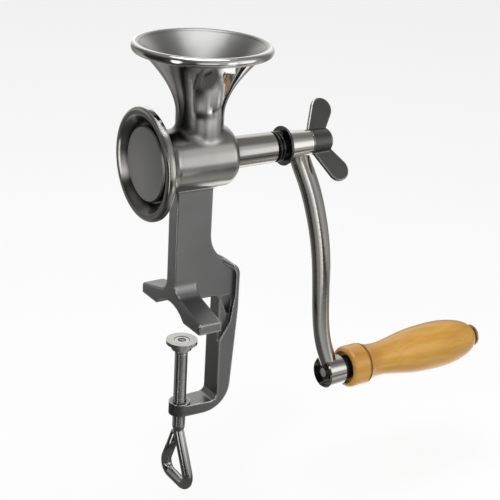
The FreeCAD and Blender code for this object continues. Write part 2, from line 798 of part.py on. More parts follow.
def wing_nut():
    """Barrel with two wings, threaded onto the shaft's end."""
    nut = turned(Outline(on_shaft, wing_nut_x, 0).line(
        (wing_nut_x, wing_nut_radius), (wing_nut_end_x - wing_nut_chamfer, wing_nut_end_radius),
        (wing_nut_end_x, wing_nut_end_radius - wing_nut_chamfer), (wing_nut_end_x, 0)).face())
    nut.rotate(Vector(0, 0, shaft_height), X_AXIS, 90)   # puts its seam between the wings

    def joins_barrel(edge):
        middle = edge.valueAt((edge.FirstParameter + edge.LastParameter) / 2)
        off_axis = math.hypot(middle.y, middle.z - shaft_height)
        return (middle.z > shaft_height and abs(abs(middle.y) - wing_thickness / 2) < on_face
                and wing_nut_end_radius - on_face < off_axis < wing_nut_radius + on_face
                and edge.BoundBox.XLength > wing_nut_length / 2)

    for half_turn in (180, 180 - wing_turn):
        nut = rounded_edges(nut.fuse(wing_solid()), wing_root_fillet, joins_barrel)
        nut.rotate(Vector(0, 0, shaft_height), X_AXIS, half_turn)
    return nut.cut(rod(wing_nut_x - overshoot, wing_nut_end_x + overshoot,
                       shaft_thread_radius + running_gap))


# ---- Stand and clamp -----------------------------------------------------------------------


def plate_outline():
    """The stand from the side: column, shoulder, spine and lower arm."""
    return rounded_face([
        (column_left_x, shaft_height, 0),
        (column_left_x, arch_rise, 0),
        (throat_x, arch_rise, throat_round),
        (throat_x, arm_top_z, arm_inner_round),
        (screw_x, arm_top_z, 0),
        (screw_x, arm_bottom_z, 0),
        (spine_foot_x, arm_bottom_z, arm_corner_round),
        (shoulder_drop_x, spine_bend_z, spine_bend_round),
        (shoulder_drop_x, shoulder_low_z, shoulder_outer_round),
        (column_right_x, shoulder_high_z, shoulder_fillet),
        (column_right_x, shaft_height, 0),
    ], on_side)


def plan_prism(stations, bottom_z, top_z):
    """A solid between two levels, from (x, half width) stations along X."""
    near = [Vector(x, -half, bottom_z) for x, half in stations]
    far = [Vector(x, half, bottom_z) for x, half in reversed(stations)]
    plan = Part.Face(Part.makePolygon(near + far + near[:1]))
    return plan.extrude(Vector(0, 0, top_z - bottom_z))


def outer_rib():
    """The wide rib round the shoulder, with the spine below the window and the lower arm."""
    slope = (shoulder_high_z - shoulder_low_z) / (shoulder_drop_x - column_right_x)
    drop = rib_thickness * math.hypot(1, slope)
    inner_x = shoulder_drop_x - rib_thickness
    outer_x = shoulder_drop_x + overshoot
    fade_z = shoulder_low_z + slope * (shoulder_drop_x - rib_fade_start_x) - drop
    region = rounded_face([
        (rib_fade_start_x, fade_z, 0),
        (inner_x, shoulder_low_z + slope * rib_thickness - drop,
         shoulder_outer_round - rib_thickness),
        (inner_x, arch_rise - window_drop, 0),
        (shoulder_drop_x - window_low_inset, arch_rise - window_depth, 0),
        (throat_x - overshoot, rib_full_z, 0),
        (throat_x - overshoot, arm_top_z + arm_inner_round, 0),
        (screw_x, arm_top_z + arm_inner_round, 0),
        (screw_x, arm_bottom_z - overshoot, 0),
        (outer_x, arm_bottom_z - overshoot, 0),
        (outer_x, shoulder_high_z, 0),
        (rib_fade_start_x, shoulder_high_z, 0),
    ], on_side)
    across = Vector(0, rib_width, 0)
    outward = Vector(0, plate_half - rib_half, 0)
    rib = plate_outline().extrude(across).common(region.extrude(across)).translate(outward)
    rib = rounded_edges(rib.removeSplitter(), rib_edge_round, lambda edge: (
        abs(abs(edge.CenterOfMass.y) - rib_half) < on_face
        and (edge.BoundBox.XMax > inner_x + overshoot or edge.CenterOfMass.z < rib_full_z)))
    upper = plan_prism([(rib_fade_start_x, plate_half), (rib_fade_end_x, rib_half),
                        (outer_x, rib_half)], 0, shoulder_high_z)
    lower = plan_prism([(screw_x, boss_radius), (throat_x, rib_half), (outer_x, rib_half)],
                       arm_bottom_z - overshoot, 0)
    return rib.common(upper.fuse(lower))


def side_plate():
    """Column, shoulder, spine and lower arm with the outer rib and a three-sided window."""
    plate = plate_outline().extrude(Vector(0, plate_thickness, 0))
    plate = rounded_edges(plate, edge_round, lambda edge: (
        abs(abs(edge.CenterOfMass.y) - plate_half) < on_face
        and edge.CenterOfMass.z < shaft_height - near_by
        and abs(edge.CenterOfMass.x - screw_x) > near_by))
    window = rounded_face([
        (throat_x + window_inner_inset, arch_rise - window_drop, window_round),
        (shoulder_drop_x - window_outer_inset, arch_rise - window_drop, window_outer_round),
        (shoulder_drop_x - window_low_inset, arch_rise - window_depth, window_round),
    ], on_side).extrude(Vector(0, rib_width, 0)).translate(Vector(0, plate_half - rib_half, 0))
    return plate.fuse(outer_rib()).cut(window)


def feet_solid():
    """The two spread feet and the arch between them, as one cross profile."""

    def on_arch(y):
        radius = (foot_inner_reach ** 2 + arch_rise ** 2) / (2 * arch_rise)
        return (y, arch_rise - radius + math.sqrt(radius ** 2 - y ** 2))

    right = [
        (plate_half, foot_top_z, 0),
        (plate_half, foot_root_height, foot_fillet),
        (foot_reach, foot_height, foot_tip_round),
        (foot_reach, 0, 0),
        (foot_inner_reach, 0, 0),
        *((*on_arch(foot_inner_reach * share), 0) for share in arch_shares),
    ]
    left = [(-y, z, radius) for y, z, radius in reversed(right)]
    face = rounded_face(right + [(0, arch_rise, 0)] + left, on_foot)
    feet = face.extrude(Vector(foot_width, 0, 0))

    def on_upper_profile(edge):
        box = edge.BoundBox
        is_tip = abs(edge.CenterOfMass.y) > foot_inner_reach and box.ZMax > foot_tip_round
        is_upper = box.ZMax > arch_rise + on_face
        return box.XLength < on_face < box.ZLength and (is_upper or is_tip)

    return rounded_edges(feet, edge_round, on_upper_profile)


def clamp_frame():
    """The stand: saddle, column, feet, C-frame and the boss for the clamp screw."""
    reach = column_flare + overshoot
    saddle_radius = chamber_radius + saddle_gap
    saddle = rod(column_left_x - reach, column_right_x + reach, saddle_radius)
    above = Part.makeBox(column_right_x - column_left_x + 2 * reach, 2 * saddle_radius,
                         saddle_radius, Vector(column_left_x - reach, -saddle_radius,
                                               shaft_height))

    def joins_saddle(edge):
        middle = edge.valueAt((edge.FirstParameter + edge.LastParameter) / 2)
        off_axis = math.hypot(middle.y, middle.z - shaft_height)
        return (abs(off_axis - saddle_radius) < on_face and abs(middle.y) < plate_half + on_face
                and middle.z < shaft_height and edge.BoundBox.ZLength < near_by)

    frame = side_plate().fuse(feet_solid()).cut(above).fuse(saddle)
    frame = rounded_edges(frame, column_flare, joins_saddle).cut(saddle)
    frame = frame.fuse(upright_rod(boss_bottom_z, boss_top_z, boss_radius))
    return frame.cut(upright_rod(boss_bottom_z - overshoot, boss_top_z + overshoot,
                                 screw_radius + running_gap))


def clamp_pad():
    """Swivelling pad: a wide face above a neck, bored for the screw's end and rivet."""
    outline = Outline(on_screw, screw_neck_radius + running_gap, pad_bottom_z)
    outline.line((pad_neck_radius, pad_bottom_z),
                 (pad_neck_radius, pad_top_z - pad_rim_thickness - pad_flare),
                 (pad_radius, pad_top_z - pad_rim_thickness),
                 (pad_radius, pad_top_z),
                 (rivet_radius + end_gap, pad_top_z),
                 (rivet_radius + end_gap, rivet_bottom_z - seat_gap),
                 (screw_neck_radius + running_gap, rivet_bottom_z - seat_gap))
    return turned_upright(outline.face(), screw_x)


def pad_rivet():
    """Riveted collar that holds the pad on the screw's neck."""
    collar = upright_rod(rivet_bottom_z, rivet_top_z, rivet_radius)
    return collar.cut(upright_rod(rivet_bottom_z - overshoot, rivet_top_z + overshoot,
                                  screw_neck_radius + seat_gap / 2))


def clamp_screw():
    """Threaded rod whose lower end is bent into a three-cornered loop to turn it by."""
    neck = upright_rod(screw_shoulder_z - overshoot, rivet_top_z, screw_neck_radius)
    shank = upright_rod(loop_top_z + shank_end_rise, screw_shoulder_z, screw_radius)

    def at(y, z):
        return Vector(screw_x, y, z)

    def bar(points, radii):
        """A round bar along straight runs with a tangent arc at each inner point."""
        edges = []
        end = points[0]
        for before, here, after, radius in zip(points, points[1:], points[2:], radii):
            back = (before - here).normalize()
            ahead = (after - here).normalize()
            half_angle = back.getAngle(ahead) / 2
            run = radius / math.tan(half_angle)
            bisector = (back + ahead).normalize()
            start = here + back * run
            middle = here + bisector * (radius / math.sin(half_angle) - radius)
            edges.append(Part.LineSegment(end, start).toShape())
            end = here + ahead * run
            edges.append(Part.Arc(start, middle, end).toShape())
        edges.append(Part.LineSegment(end, points[-1]).toShape())
        first = points[1] - points[0]
        circle = Part.Wire(Part.Circle(points[0], first, loop_rod_radius).toShape())
        return Part.Wire(edges).makePipeShell([circle], True, False)

    right_leg = bar([at(0, loop_top_z + loop_rod_rise), at(0, loop_top_z - loop_neck_drop),
                     at(-loop_half_width, loop_bottom_z), at(0, loop_bottom_z)],
                    [loop_neck_round, loop_corner_round])
    left_leg = bar([at(0, loop_bottom_z), at(loop_half_width, loop_bottom_z),
                    at(loop_end_offset, loop_top_z - loop_end_gap)], [loop_corner_round])
    return shank.fuse(neck).fuse(right_leg).fuse(left_leg)


# ---- Export --------------------------------------------------------------------------------

PIECES = {
    "mill_body": mill_body,
    "clamp_frame": clamp_frame,
    "sleeve_bush": sleeve_bush,
    "fixed_burr": fixed_burr,
    "burr_screws": burr_screws,
    "grinding_disc": grinding_disc,
    "worm_shaft": worm_shaft,
    "drive_pin": drive_pin,
    "pressure_spring": pressure_spring,
    "thrust_washer": thrust_washer,
    "crank_arm": crank_arm,
    "lock_nut": lock_nut,
    "grip_bolt": grip_bolt,
    "grip_spacer": grip_spacer,
    "head_washer": head_washer,
    "wooden_grip": grip,
    "wing_nut": wing_nut,
    "clamp_screw": clamp_screw,
    "clamp_pad": clamp_pad,
    "pad_rivet": pad_rivet,
}

os.makedirs("parts", exist_ok=True)
for node, make in PIECES.items():
    shape = make()
    if shape.ShapeType == "Compound" and len(shape.Solids) == 1:
        shape = shape.Solids[0]
    print(f"{node:16s} solids {len(shape.Solids)} valid {shape.isValid()} "
          f"volume {shape.Volume:10.1f} faces {len(shape.Faces)}")
    shape.exportStep(f"parts/{node}.step")
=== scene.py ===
"""Looks of the hand crank grinder: finishes, cut threads, a wound spring, camera and studio."""

import json
import math

import bpy
from mathutils import Matrix, Vector


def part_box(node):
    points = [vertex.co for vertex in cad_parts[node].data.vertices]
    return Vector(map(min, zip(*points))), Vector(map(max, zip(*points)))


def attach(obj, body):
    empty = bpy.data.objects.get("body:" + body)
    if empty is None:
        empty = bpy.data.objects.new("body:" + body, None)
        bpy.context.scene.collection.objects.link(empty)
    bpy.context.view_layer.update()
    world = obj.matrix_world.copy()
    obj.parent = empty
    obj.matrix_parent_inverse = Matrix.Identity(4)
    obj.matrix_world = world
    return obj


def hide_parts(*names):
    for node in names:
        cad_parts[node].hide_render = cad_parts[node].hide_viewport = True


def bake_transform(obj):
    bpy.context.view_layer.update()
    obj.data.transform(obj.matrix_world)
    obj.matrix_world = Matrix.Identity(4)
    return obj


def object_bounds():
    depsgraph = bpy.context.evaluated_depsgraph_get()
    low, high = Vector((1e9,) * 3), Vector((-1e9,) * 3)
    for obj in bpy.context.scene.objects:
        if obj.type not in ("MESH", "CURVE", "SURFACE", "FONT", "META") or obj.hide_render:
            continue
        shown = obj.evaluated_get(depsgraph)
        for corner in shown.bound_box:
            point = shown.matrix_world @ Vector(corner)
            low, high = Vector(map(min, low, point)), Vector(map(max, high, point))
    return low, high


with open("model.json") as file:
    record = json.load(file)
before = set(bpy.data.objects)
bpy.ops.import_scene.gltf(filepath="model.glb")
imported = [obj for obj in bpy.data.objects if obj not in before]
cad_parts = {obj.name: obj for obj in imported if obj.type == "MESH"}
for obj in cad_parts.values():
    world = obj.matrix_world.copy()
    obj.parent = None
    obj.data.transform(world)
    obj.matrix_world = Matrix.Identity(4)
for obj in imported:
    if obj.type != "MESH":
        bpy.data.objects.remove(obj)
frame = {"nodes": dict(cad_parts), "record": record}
cad_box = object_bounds()

MM = 0.001

# ---- Sizes that the new pieces share with the solids, in millimetres ------------------------

shaft_height = 94.5
screw_x = -6.0
screw_radius = 4.0
screw_root_radius = 3.35
screw_pitch = 1.25
screw_neck_radius = 2.6
screw_neck_top_z = -19.75
screw_shoulder_z = -25.45
screw_chamfer = 0.5
thread_top_z = -27.5
thread_bottom_z = -78.0
loop_top_z = -79.5
loop_rod_radius = 3.3
loop_half_width = 17.4
loop_bottom_z = -115.8
loop_corner_round = 6.5
loop_neck_round = 9.0
loop_end_gap = 5.0            # from the loop's top down to where the bent end stops

spring_radius = 8.2
spring_wire = 2.0
spring_turns = 2.3
groove_x = 131.95             # groove turned into the grip
groove_width = 1.6
barrel_radius = 18.0
barrel_end_x = 19.4
flange_front_x = -36.5
flange_radius = 32.6
flange_round = 2.4
dish_mouth_radius = 27.4

# ---- Mesh helpers --------------------------------------------------------------------------


def make_piece(name, points, faces, body, slot, *nodes):
    """A smooth-shaded mesh piece, points in millimetres, that rides on a body."""
    mesh = bpy.data.meshes.new(name)
    mesh.from_pydata([Vector(point) * MM for point in points], [], faces)
    mesh.validate()
    mesh.shade_smooth()
    mesh.materials.append(finishes[slot])
    piece = bpy.data.objects.new(name, mesh)
    bpy.context.collection.objects.link(piece)
    if body:
        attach(piece, body)
    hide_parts(*nodes)
    return piece


def ring_faces(rows, columns):
    """Quads between rows of points, each row a closed ring."""
    return [(row * columns + column, row * columns + (column + 1) % columns,
             (row + 1) * columns + (column + 1) % columns, (row + 1) * columns + column)
            for row in range(rows - 1) for column in range(columns)]


def closed_faces(rows, columns):
    """The same quads, with a cap over the first and the last ring."""
    last = (rows - 1) * columns
    return ring_faces(rows, columns) + [tuple(reversed(range(columns))),
                                        tuple(range(last, last + columns))]


def tube(line, radius, sides=24):
    """Points and faces of a round bar along a line, carried along it without twist."""
    line = [Vector(point) for point in line]
    tangents = [(line[min(i + 1, len(line) - 1)] - line[max(i - 1, 0)]).normalized()
                for i in range(len(line))]
    side = tangents[0].orthogonal().normalized()
    points = []
    for spot, tangent in zip(line, tangents):
        side = (side - tangent * side.dot(tangent)).normalized()
        other = tangent.cross(side)
        for step in range(sides):
            angle = 2 * math.pi * step / sides
            points.append(spot + side * (radius * math.cos(angle))
                          + other * (radius * math.sin(angle)))
    return points, closed_faces(len(line), sides)


def rounded_line(corners, steps=14):
    """Straight runs with a tangent arc at each inner corner (point, radius)."""
    line = [Vector(corners[0][0])]
    for (before, _), (here, radius), (after, _) in zip(corners, corners[1:], corners[2:]):
        here = Vector(here)
        back = (Vector(before) - here).normalized()
        ahead = (Vector(after) - here).normalized()
        half = back.angle(ahead) / 2
        run = radius / math.tan(half)
        centre = here + (back + ahead).normalized() * (radius / math.sin(half))
        start = here + back * run - centre
        end = here + ahead * run - centre
        for step in range(steps + 1):
            line.append(centre + start.slerp(end, step / steps).normalized() * radius)
    line.append(Vector(corners[-1][0]))
    return line


# ---- Materials -----------------------------------------------------------------------------

noise_low = 0.35              # most of a noise's values lie between these two
noise_high = 0.65
cloud_detail = 5.0            # the slow changes in a metal's polish
fine_scale = 1400.0           # the finest grain of a metal's surface
fine_detail = 2.0
fine_depth = 0.00003          # metres
cloud_share = 0.6             # of the roughness, the rest follows the fine grain
dark_share = 0.84             # darkest and brightest clouds, as shares of a steel's colour
bright_share = 1.14
least_roughness = 0.03
edge_roughness = 0.16
edge_full_turn = 0.955        # cosine between true and softened normal, on an edge
edge_no_turn = 0.992          # and away from one
edge_closed = 0.86            # ambient occlusion at a place that is no proud edge
edge_open = 0.97              # and at one

mix_low = 6                   # sockets of the Mix node that carry colours
mix_high = 7
mix_result = 2


def rgba(colour):
    """A colour with full alpha, from three numbers or, for a grey, from one."""
    return (*colour, 1) if isinstance(colour, tuple) else (colour,) * 3 + (1,)


class Nodes:
    """A new material with short calls to add and link its nodes."""

    def __init__(self, name):
        self.material = bpy.data.materials.new(name)
        self.material.use_nodes = True
        self.tree = self.material.node_tree
        self.shader = self.tree.nodes["Principled BSDF"]
        self.place = self.add("TexCoord").outputs["Object"]

    def add(self, kind, **inputs):
        """A new node, with values or links for its named inputs."""
        node = self.tree.nodes.new("ShaderNode" + kind)
        for key, value in inputs.items():
            self.put(node.inputs[key.replace("_", " ")], value)
        return node

    def put(self, socket, value):
        """Links another node's output to an input, or sets the input to a value."""
        if isinstance(value, bpy.types.NodeSocket):
            self.tree.links.new(value, socket)
        else:
            socket.default_value = value

    def look(self, name, value):
        """Links or sets an input of the material's own shader."""
        self.put(self.shader.inputs[name], value)

    def emit(self, output):
        """Sends an output to the material's surface in place of its own shader."""
        self.put(self.tree.nodes["Material Output"].inputs["Surface"], output)

    def noise(self, scale, detail, stretch=(1, 1, 1), roughness=0.5):
        """A noise over the object's place; a small stretch makes it long that way."""
        mapping = self.add("Mapping", Vector=self.place, Scale=stretch)
        return self.add("TexNoise", Vector=mapping.outputs["Vector"], Scale=scale,
                        Detail=detail, Roughness=roughness).outputs["Fac"]

    def ramp(self, value, *stops):
        """Colours or greys against a value, each stop a position and what it has there."""
        node = self.add("ValToRGB", Fac=value)
        elements = node.color_ramp.elements
        for _ in stops[2:]:
            elements.new(0.5)
        for element, (position, colour) in zip(elements, stops):
            element.position = position
            element.color = rgba(colour)
        return node.outputs["Color"]

    def noise_ramp(self, value, low, high):
        """A noise stretched from low to high over most of its values."""
        return self.ramp(value, (noise_low, low), (noise_high, high))

    def mix(self, factor, low, high):
        """The colour or grey low where the factor is 0, and high where it is 1."""
        node = self.add("Mix")
        node.data_type = "RGBA"
        self.put(node.inputs["Factor"], factor)
        for key, value in ((mix_low, low), (mix_high, high)):
            linked = isinstance(value, bpy.types.NodeSocket)
            self.put(node.inputs[key], value if linked else rgba(value))
        return node.outputs[mix_result]

    def math(self, operation, a, b=0.0):
        node = self.add("Math")
        node.operation = operation
        self.put(node.inputs[0], a)
        self.put(node.inputs[1], b)
        return node.outputs[0]

    def vector_math(self, operation, output, a, b):
        node = self.add("VectorMath")
        node.operation = operation
        self.put(node.inputs[0], a)
        self.put(node.inputs[1], b)
        return node.outputs[output]

    def bump(self, height, strength, distance, normal=None):
        node = self.add("Bump", Height=height, Strength=strength, Distance=distance)
        if normal:
            self.put(node.inputs["Normal"], normal)
        return node.outputs["Normal"]

    def true_normal(self):
        return self.add("NewGeometry").outputs["Normal"]

    def edges(self, radius):
        """A softened normal, and a mask that is 1 along sharp or rounded edges."""
        soft = self.add("Bevel", Radius=radius).outputs["Normal"]
        wide = self.add("Bevel", Radius=2 * radius).outputs["Normal"]
        cosine = self.vector_math("DOT_PRODUCT", "Value", wide, self.true_normal())
        turned = self.ramp(cosine, (edge_full_turn, 1.0), (edge_no_turn, 0.0))
        open_air = self.add("AmbientOcclusion", Distance=4 * radius).outputs["AO"]
        proud = self.ramp(open_air, (edge_closed, 0.0), (edge_open, 1.0))
        return soft, self.math("MULTIPLY", turned, proud)

    def about_shaft(self):
        """Place along the shaft, height above it and distance from its axis, in metres."""
        spot = self.add("SeparateXYZ", Vector=self.place)
        up = self.math("SUBTRACT", spot.outputs["Z"], shaft_height * MM)
        square = self.math("ADD", self.math("MULTIPLY", up, up),
                           self.math("MULTIPLY", spot.outputs["Y"], spot.outputs["Y"]))
        return spot.outputs["X"], up, self.math("SQRT", square)


def steel(name, colour, roughness, spread=0.06, cloud=12.0, grain=0.0, stretch=(1, 1, 1),
          edge_wear_and_highlight=None, edge_radius=0.0005):
    """Steel with cloudy polish, a fine surface grain and, where asked, edges made brighter by wear
    and by a painted highlight.
    """
    n = Nodes(name)
    clouds = n.noise(cloud, cloud_detail)
    fine = n.noise(fine_scale, fine_detail, stretch)
    tone = n.mix(clouds, tuple(c * dark_share for c in colour),
                 tuple(min(c * bright_share, 1) for c in colour))
    rough = n.noise_ramp(n.math("ADD", n.math("MULTIPLY", clouds, cloud_share),
                                n.math("MULTIPLY", fine, 1 - cloud_share)),
                         max(roughness - spread, least_roughness), roughness + spread)
    normal = None
    # Edges: a brighter, smoother colour along convex rounds, partly worn polish and partly a
    # painted highlight where they catch the light
    if edge_wear_and_highlight:
        normal, mask = n.edges(edge_radius)
        tone = n.mix(mask, tone, edge_wear_and_highlight)
        rough = n.mix(mask, rough, edge_roughness)
    if grain:
        normal = n.bump(fine, strength=grain, distance=fine_depth, normal=normal)
    if normal:
        n.look("Normal", normal)
    n.look("Base Color", tone)
    n.look("Metallic", 1.0)
    n.look("Roughness", rough)
    return n.material


def polished_casting():
    """Hand-polished casting: mirror hopper, satin barrel and a blasted ring round the dish."""
    n = Nodes("polished_casting")
    along, up, from_shaft = n.about_shaft()
    clouds = n.noise(26.0, cloud_detail)
    fine = n.noise(fine_scale, fine_detail)

    # Blasted: the flange's front face, between the dish's mouth and the rounded rim
    skin = 0.05               # millimetres, as the two fades
    mouth_fade = 0.9
    rim_fade = 0.4
    rim_start = flange_radius - flange_round
    face = n.math("LESS_THAN", along, (flange_front_x + skin) * MM)
    ring = n.ramp(n.math("MULTIPLY", from_shaft, 1 / (flange_radius * MM)),
                  (dish_mouth_radius / flange_radius, 0.0),
                  ((dish_mouth_radius + mouth_fade) / flange_radius, 1.0),
                  (rim_start / flange_radius, 1.0),
                  ((rim_start + rim_fade) / flange_radius, 0.0))
    blasted = n.math("MULTIPLY", face, ring)

    # Barrel and neck, by the height above the shaft as a share of the barrel's width
    rise = n.math("MULTIPLY", up, 1 / (2 * barrel_radius * MM))
    barrel = n.ramp(rise, (0.42, 1.0), (0.72, 0.0))
    neck = n.ramp(rise, (0.28, 0.0), (0.40, 1.0), (0.70, 1.0), (0.85, 0.0))
    sleeve_gap = 0.5          # millimetres
    sleeve = n.math("GREATER_THAN", along, (barrel_end_x + sleeve_gap) * MM)

    # Inside: what is above the barrel and faces the hopper's axis
    facing_in = -0.0005       # metres, the normal's share of the place's distance
    outward = n.vector_math("MULTIPLY", "Vector", n.place, (1, 1, 0))
    facing = n.vector_math("DOT_PRODUCT", "Value", n.true_normal(), outward)
    inside = n.math("MULTIPLY", n.math("LESS_THAN", facing, facing_in),
                    n.math("GREATER_THAN", up, barrel_radius * MM))

    # Painted shade: where ambient occlusion finds a corner or hollow, the colour is darkened
    # nearly to black, in place of the shade and dark reflections there
    corner_reach = 0.022      # metres
    reached = n.add("AmbientOcclusion", Distance=corner_reach).outputs["AO"]
    painted_shade = n.ramp(reached, (0.60, 0.88), (0.86, 0.0))

    painted_shade_tone = 0.02
    inside_tone = (0.24, 0.24, 0.238)
    blasted_tone = (0.16, 0.16, 0.155)
    mirror_tone = n.mix(clouds, (0.40, 0.395, 0.385), (0.53, 0.525, 0.515))
    satin_tone = n.mix(clouds, (0.25, 0.245, 0.235), (0.34, 0.335, 0.32))
    tone = n.mix(barrel, mirror_tone, satin_tone)
    # painted shade laid over the polished tone
    tone = n.mix(painted_shade, tone, painted_shade_tone)
    tone = n.mix(inside, tone, inside_tone)
    tone = n.mix(blasted, tone, blasted_tone)

    inside_rough = 0.33
    blasted_rough = 0.45
    mirror_rough = n.noise_ramp(clouds, 0.04, 0.09)
    sleeve_rough = n.noise_ramp(clouds, 0.07, 0.13)
    barrel_rough = n.noise_ramp(clouds, 0.14, 0.23)
    rough = n.mix(barrel, mirror_rough, n.mix(sleeve, barrel_rough, sleeve_rough))
    rough = n.mix(inside, rough, inside_rough)
    rough = n.mix(blasted, rough, blasted_rough)

    # Edges are softened a little everywhere, and more where the neck meets the barrel
    edge_soft = 0.0005        # metres
    neck_soft = 0.0035
    reach = n.math("ADD", n.math("MULTIPLY", neck, neck_soft), edge_soft)
    softened = n.add("Bevel", Radius=reach).outputs["Normal"]
    waves = n.noise(42.0, detail=2.0)
    wavy = n.bump(waves, strength=0.22, distance=0.0012, normal=softened)

    n.look("Base Color", tone)
    n.look("Metallic", 1.0)
    n.look("Roughness", rough)
    n.look("Normal", n.bump(fine, strength=0.15, distance=fine_depth, normal=wavy))
    return n.material


def varnished_wood():
    """Beech under clear varnish: long grain, small flecks and a burnt groove."""
    n = Nodes("varnished_beech")
    dark = (0.40, 0.182, 0.018)
    middle = (0.50, 0.256, 0.028)
    pale = (0.60, 0.335, 0.042)
    fibre = (0.38, 0.16, 0.02)
    fleck = (0.36, 0.14, 0.02)
    burnt = (0.15, 0.055, 0.012)
    grain = n.noise(70.0, detail=6.0, stretch=(0.16, 1.0, 1.0), roughness=0.6)
    fibres = n.noise(700.0, detail=3.0, stretch=(0.08, 1.0, 1.0))
    flecks = n.noise(1150.0, detail=1.0, stretch=(0.30, 1.0, 1.0))
    tone = n.ramp(grain, (0.30, dark), (0.50, middle), (0.72, pale))
    tone = n.mix(n.ramp(fibres, (0.40, 0.28), (0.62, 0.0)), tone, fibre)
    tone = n.mix(n.ramp(flecks, (0.66, 0.0), (0.74, 0.5)), tone, fleck)

    burn_reach = 2.2          # in groove widths, to each side
    along = n.add("SeparateXYZ", Vector=n.place).outputs["X"]
    groove_middle = (groove_x + groove_width / 2) * MM
    distance = n.math("ABSOLUTE", n.math("SUBTRACT", along, groove_middle))
    burn = n.ramp(n.math("MULTIPLY", distance, 1 / (burn_reach * groove_width * MM)),
                  (0.12, 0.75), (0.55, 0.0))
    n.look("Base Color", n.mix(burn, tone, burnt))
    n.look("Roughness", n.ramp(fibres, (0.3, 0.30), (0.7, 0.46)))
    n.look("Coat Weight", 0.45)
    n.look("Coat Roughness", 0.14)
    n.look("Normal", n.bump(fibres, strength=0.22, distance=0.00005))
    return n.material


def turned_face():
    """Fine rings turned into a face about the shaft's axis, over dark steel."""
    n = Nodes("turned_disc")
    ring_pitch = 0.35         # millimetres
    from_shaft = n.about_shaft()[2]
    rings = n.math("SINE", n.math("MULTIPLY", from_shaft, 2 * math.pi / (ring_pitch * MM)))
    clouds = n.noise(30.0, detail=4.0)
    n.look("Base Color", n.mix(clouds, (0.17, 0.17, 0.17), (0.24, 0.24, 0.235)))
    n.look("Metallic", 1.0)
    n.look("Roughness", n.ramp(clouds, (0.3, 0.27), (0.7, 0.36)))
    n.look("Anisotropic", 0.5)
    n.look("Normal", n.bump(rings, strength=0.12, distance=0.00001))
    return n.material


# The edge colours below are worn, polished steel, lightened further as a painted highlight
finishes = {
    "polished_steel": polished_casting(),
    "cast_steel": steel("blasted_casting", (0.195, 0.195, 0.197), roughness=0.36, spread=0.07,
                        cloud=40.0, grain=0.45, edge_wear_and_highlight=(0.66, 0.66, 0.66), edge_radius=0.0007),
    "bush_bronze": steel("bush_bronze", (0.55, 0.36, 0.17), roughness=0.25),
    "burr_steel": steel("burr_steel", (0.26, 0.26, 0.26), roughness=0.35,
                        edge_wear_and_highlight=(0.5, 0.5, 0.5), edge_radius=0.0002),
    "disc_steel": turned_face(),
    "turned_steel": steel("turned_steel", (0.42, 0.42, 0.42), roughness=0.22, grain=0.2,
                          stretch=(6, 1, 1)),
    "spring_steel": steel("blackened_wire", (0.045, 0.045, 0.047), roughness=0.26,
                          spread=0.08, cloud=200.0),
    "dark_steel": steel("blackened_steel", (0.06, 0.06, 0.062), roughness=0.30, spread=0.08,
                        cloud=90.0, edge_wear_and_highlight=(0.25, 0.25, 0.25), edge_radius=0.0002),
    "crank_steel": steel("polished_crank", (0.42, 0.415, 0.40), roughness=0.05, spread=0.02,
                         cloud=25.0, grain=0.05),
    "bright_steel": steel("bright_steel", (0.60, 0.60, 0.59), roughness=0.08, spread=0.03,
                          cloud=60.0),
    "grip_wood": varnished_wood(),
    "wing_steel": steel("blasted_wing", (0.085, 0.085, 0.082), roughness=0.42, spread=0.06,
                        cloud=60.0, grain=0.6, edge_wear_and_highlight=(0.60, 0.60, 0.59), edge_radius=0.0005),
    "screw_steel": steel("polished_rod", (0.38, 0.38, 0.375), roughness=0.14, spread=0.05,
                         cloud=60.0, grain=0.1),
}

slots = {row["node"]: row["material_slot"] for row in frame["record"]["subparts"]}
for node, piece in frame["nodes"].items():
    piece.data.materials.clear()
    piece.data.materials.append(finishes[slots[node]])

# ---- Clamp screw: cut thread, turned neck and bent loop -------------------------------------

rod_sides = 60
thread_steps = 12             # rings of points per pitch
thread_fade = 1.2             # over this length the thread starts and ends
thread_end_share = 0.93       # of the screw's radius, at the thread's end above the loop
ridge_top = 1.25              # a ridge this high and this steep, cut off at 0 and 1, so that
ridge_slope = 1.5             # both crest and root are flat
loop_start_rise = 2.5         # the bent rod starts this far up inside the thread's end
loop_bend_drop = 1.0          # and first bends this far below the loop's top
loop_end_share = 0.8          # where the bent end stops to the side, in rod radii


def ridge_height(turn, z):
    """The thread's height at a turn round the rod and a level: 0 at the root, 1 at the crest."""
    phase = (z / screw_pitch - turn) % 1.0
    return min(1.0, max(0.0, ridge_top - abs(phase * 2 - 1) * ridge_slope))


def clamp_screw_points():
    """Rings down the rod; the thread is a ridge that climbs once round per pitch."""
    rings = [(screw_neck_top_z, None, screw_neck_radius),
             (screw_shoulder_z, None, screw_neck_radius),
             (screw_shoulder_z, None, screw_radius - screw_chamfer),
             (screw_shoulder_z - screw_chamfer, None, screw_radius)]
    z = thread_top_z
    while z > thread_bottom_z:
        rings.append((z, z, screw_radius))
        z -= screw_pitch / thread_steps
    rings.append((loop_top_z, None, screw_radius * thread_end_share))
    points = []
    for height, thread_z, radius in rings:
        for side in range(rod_sides):
            turn = side / rod_sides
            cut = radius
            if thread_z is not None:
                fade = min(1.0, (thread_top_z - thread_z) / thread_fade,
                           (thread_z - thread_bottom_z) / thread_fade)
                depth = (screw_radius - screw_root_radius) * (1 - ridge_height(turn, thread_z))
                cut = radius - depth * max(fade, 0.0)
            angle = 2 * math.pi * turn
            points.append((screw_x + cut * math.cos(angle), cut * math.sin(angle), height))
    return points, closed_faces(len(rings), rod_sides)


